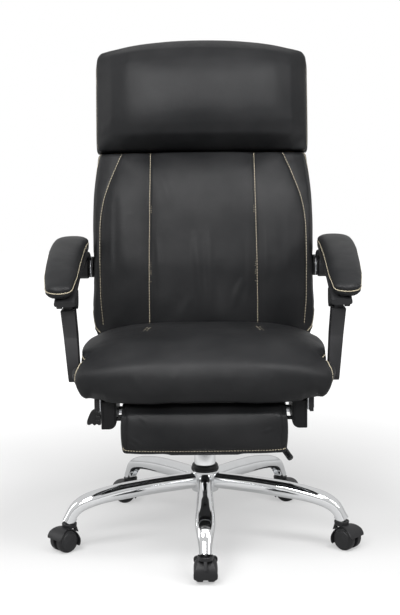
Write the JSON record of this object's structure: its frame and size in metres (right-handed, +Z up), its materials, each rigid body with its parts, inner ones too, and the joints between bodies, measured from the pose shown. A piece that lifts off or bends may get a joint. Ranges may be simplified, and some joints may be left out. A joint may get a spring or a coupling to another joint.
{
  "type": "reclining office chair",
  "caption": "High-back reclining office chair with padded headrest, linked armrests, pull-out footrest and a chromed star base on twin-wheel casters.",
  "frame": {"origin": "on the floor under the middle of the chair's outline, with the seat swivel axis 9 mm in front of it", "axes": "+Z up, -Y towards the front edge of the seat, +X towards the left hand of a person seated in it"},
  "size_m": [0.7032, 0.681, 1.1192],
  "materials": {
    "black_leather": "soft grain, satin",
    "chrome": "polished",
    "black_plastic": "satin",
    "grey_nylon": "natural",
    "black_steel": "powder coat",
    "zinc_steel": "zinc plated",
    "plywood": "bare"
  },
  "bodies": {
    "base": {"star_base": "chrome", "hub_collar": "black_plastic", "column_tube": "chrome", "column_guide_bush": "grey_nylon", "thrust_bearing": "zinc_steel", "caster_1_stem": "zinc_steel", "caster_2_stem": "zinc_steel", "caster_3_stem": "zinc_steel", "caster_4_stem": "zinc_steel", "caster_5_stem": "zinc_steel"},
    "rod": {"piston_rod": "chrome"},
    "seat": {"gas_cylinder": "black_steel", "mechanism_housing": "black_steel", "seat_board": "plywood", "seat_cushion": "black_leather", "side_bracket_left": "black_steel", "side_bracket_right": "black_steel", "footrest_rail_left": "zinc_steel", "footrest_rail_right": "zinc_steel"},
    "valve": {"valve_button": "zinc_steel"},
    "recline_lever": {"recline_shaft": "chrome", "recline_paddle": "black_plastic"},
    "height_lever": {"lift_lever_rod": "black_steel", "lift_lever_grip": "black_plastic"},
    "footrest_carriage": {"slide_rail_left": "zinc_steel", "slide_rail_right": "zinc_steel", "footrest_arm_left": "black_leather", "footrest_arm_right": "black_leather", "footrest_crossbar": "zinc_steel"},
    "footrest_pad": {"footrest_frame": "black_steel", "footrest_cushion": "black_leather"},
    "back": {"back_board": "plywood", "back_rear_panel": "black_leather", "back_cushion": "black_leather", "headrest_cushion": "black_leather", "back_plate_left": "black_steel", "back_plate_right": "black_steel", "arm_pivot_left": "black_plastic", "arm_pivot_right": "black_plastic"},
    "arm_left": {"arm_pad_left": "black_leather", "arm_frame_left": "black_plastic"},
    "post_left": {"arm_post_left": "black_plastic"},
    "arm_right": {"arm_pad_right": "black_leather", "arm_frame_right": "black_plastic"},
    "post_right": {"arm_post_right": "black_plastic"},
    "caster_1": {"caster_1_hood": "black_plastic"},
    "wheel_1_left": {"caster_1_wheel_left": "black_plastic"},
    "wheel_1_right": {"caster_1_wheel_right": "black_plastic"},
    "caster_2": {"caster_2_hood": "black_plastic"},
    "wheel_2_left": {"caster_2_wheel_left": "black_plastic"},
    "wheel_2_right": {"caster_2_wheel_right": "black_plastic"},
    "caster_3": {"caster_3_hood": "black_plastic"},
    "wheel_3_left": {"caster_3_wheel_left": "black_plastic"},
    "wheel_3_right": {"caster_3_wheel_right": "black_plastic"},
    "caster_4": {"caster_4_hood": "black_plastic"},
    "wheel_4_left": {"caster_4_wheel_left": "black_plastic"},
    "wheel_4_right": {"caster_4_wheel_right": "black_plastic"},
    "caster_5": {"caster_5_hood": "black_plastic"},
    "wheel_5_left": {"caster_5_wheel_left": "black_plastic"},
    "wheel_5_right": {"caster_5_wheel_right": "black_plastic"}
  },
  "joints": [
    {"name": "seat_swivel", "type": "hinge", "parent": "base", "child": "rod", "pos_m": [0, -0.00862, 0.108], "axis": [0, 0, 1], "continuous": true},
    {"name": "seat_height", "type": "slide", "parent": "rod", "child": "seat", "axis": [0, 0, 1], "range_m": [0, 0.09]},
    {"name": "height_lever", "type": "hinge", "parent": "seat", "child": "height_lever", "pos_m": [0.036, -0.00862, 0.3299], "axis": [0, -1, 0], "range_deg": [0, 6], "stiffness_Nm_per_rad": 2},
    {"name": "valve_press", "type": "slide", "parent": "seat", "child": "valve", "axis": [0, 0, -1], "range_m": [0, 0.004]},
    {"name": "recline_lever", "type": "hinge", "parent": "seat", "child": "recline_lever", "pos_m": [0, -0.06862, 0.291], "axis": [1, 0, 0], "range_deg": [0, 25], "stiffness_Nm_per_rad": 1},
    {"name": "footrest_slide", "type": "slide", "parent": "seat", "child": "footrest_carriage", "axis": [0, -1, 0], "range_m": [0, 0.22]},
    {"name": "footrest_flip", "type": "hinge", "parent": "footrest_carriage", "child": "footrest_pad", "pos_m": [0, -0.19862, 0.318], "axis": [-1, 0, 0], "range_deg": [0, 90]},
    {"name": "back_recline", "type": "hinge", "parent": "seat", "child": "back", "pos_m": [0, 0.19138, 0.432], "axis": [-1, 0, 0], "range_deg": [0, 40]},
    {"name": "arm_left_link", "type": "hinge", "parent": "back", "child": "arm_left", "pos_m": [0, 0.21138, 0.593], "axis": [-1, 0, 0], "range_deg": [-40, 0]},
    {"name": "post_left_link", "type": "hinge", "parent": "seat", "child": "post_left", "pos_m": [0, -0.16362, 0.404], "axis": [-1, 0, 0], "range_deg": [0, 40]},
    {"name": "arm_right_link", "type": "hinge", "parent": "back", "child": "arm_right", "pos_m": [0, 0.21138, 0.593], "axis": [-1, 0, 0], "range_deg": [-40, 0]},
    {"name": "post_right_link", "type": "hinge", "parent": "seat", "child": "post_right", "pos_m": [0, -0.16362, 0.404], "axis": [-1, 0, 0], "range_deg": [0, 40]},
    {"name": "caster_1_swivel", "type": "hinge", "parent": "base", "child": "caster_1", "pos_m": [0, -0.32562, 0.062], "axis": [0, 0, 1], "continuous": true},
    {"name": "wheel_1_left_roll", "type": "hinge", "parent": "caster_1", "child": "wheel_1_left", "pos_m": [0, -0.30962, 0.025], "axis": [-1, 0, 0], "continuous": true},
    {"name": "wheel_1_right_roll", "type": "hinge", "parent": "caster_1", "child": "wheel_1_right", "pos_m": [0, -0.30962, 0.025], "axis": [-1, 0, 0], "continuous": true},
    {"name": "caster_2_swivel", "type": "hinge", "parent": "base", "child": "caster_2", "pos_m": [0.30149, -0.10658, 0.062], "axis": [0, 0, 1], "continuous": true},
    {"name": "wheel_2_left_roll", "type": "hinge", "parent": "caster_2", "child": "wheel_2_left", "pos_m": [0.31338, -0.11728, 0.025], "axis": [0.6691, 0.7431, 0], "continuous": true},
    {"name": "wheel_2_right_roll", "type": "hinge", "parent": "caster_2", "child": "wheel_2_right", "pos_m": [0.31338, -0.11728, 0.025], "axis": [0.6691, 0.7431, 0], "continuous": true},
    {"name": "caster_3_swivel", "type": "hinge", "parent": "base", "child": "caster_3", "pos_m": [0.18633, 0.24784, 0.062], "axis": [0, 0, 1], "continuous": true},
    {"name": "wheel_3_left_roll", "type": "hinge", "parent": "caster_3", "child": "wheel_3_left", "pos_m": [0.20208, 0.24506, 0.025], "axis": [0.1736, 0.9848, 0], "continuous": true},
    {"name": "wheel_3_right_roll", "type": "hinge", "parent": "caster_3", "child": "wheel_3_right", "pos_m": [0.20208, 0.24506, 0.025], "axis": [0.1736, 0.9848, 0], "continuous": true},
    {"name": "caster_4_swivel", "type": "hinge", "parent": "base", "child": "caster_4", "pos_m": [-0.18633, 0.24784, 0.062], "axis": [0, 0, 1], "continuous": true},
    {"name": "wheel_4_left_roll", "type": "hinge", "parent": "caster_4", "child": "wheel_4_left", "pos_m": [-0.20208, 0.24506, 0.025], "axis": [0.1736, -0.9848, 0], "continuous": true},
    {"name": "wheel_4_right_roll", "type": "hinge", "parent": "caster_4", "child": "wheel_4_right", "pos_m": [-0.20208, 0.24506, 0.025], "axis": [0.1736, -0.9848, 0], "continuous": true},
    {"name": "caster_5_swivel", "type": "hinge", "parent": "base", "child": "caster_5", "pos_m": [-0.30149, -0.10658, 0.062], "axis": [0, 0, 1], "continuous": true},
    {"name": "wheel_5_left_roll", "type": "hinge", "parent": "caster_5", "child": "wheel_5_left", "pos_m": [-0.31338, -0.11728, 0.025], "axis": [0.6691, -0.7431, 0], "continuous": true},
    {"name": "wheel_5_right_roll", "type": "hinge", "parent": "caster_5", "child": "wheel_5_right", "pos_m": [-0.31338, -0.11728, 0.025], "axis": [0.6691, -0.7431, 0], "continuous": true}
  ],
  "couplings": [
    {"joint": "valve_press", "follows": "height_lever", "m_per_rad": 0.036},
    {"joint": "footrest_flip", "follows": "footrest_slide", "rad_per_m": 7.13},
    {"joint": "arm_left_link", "follows": "back_recline", "ratio": -1},
    {"joint": "arm_right_link", "follows": "back_recline", "ratio": -1},
    {"joint": "post_left_link", "follows": "back_recline", "ratio": 1},
    {"joint": "post_right_link", "follows": "back_recline", "ratio": 1}
  ]
}
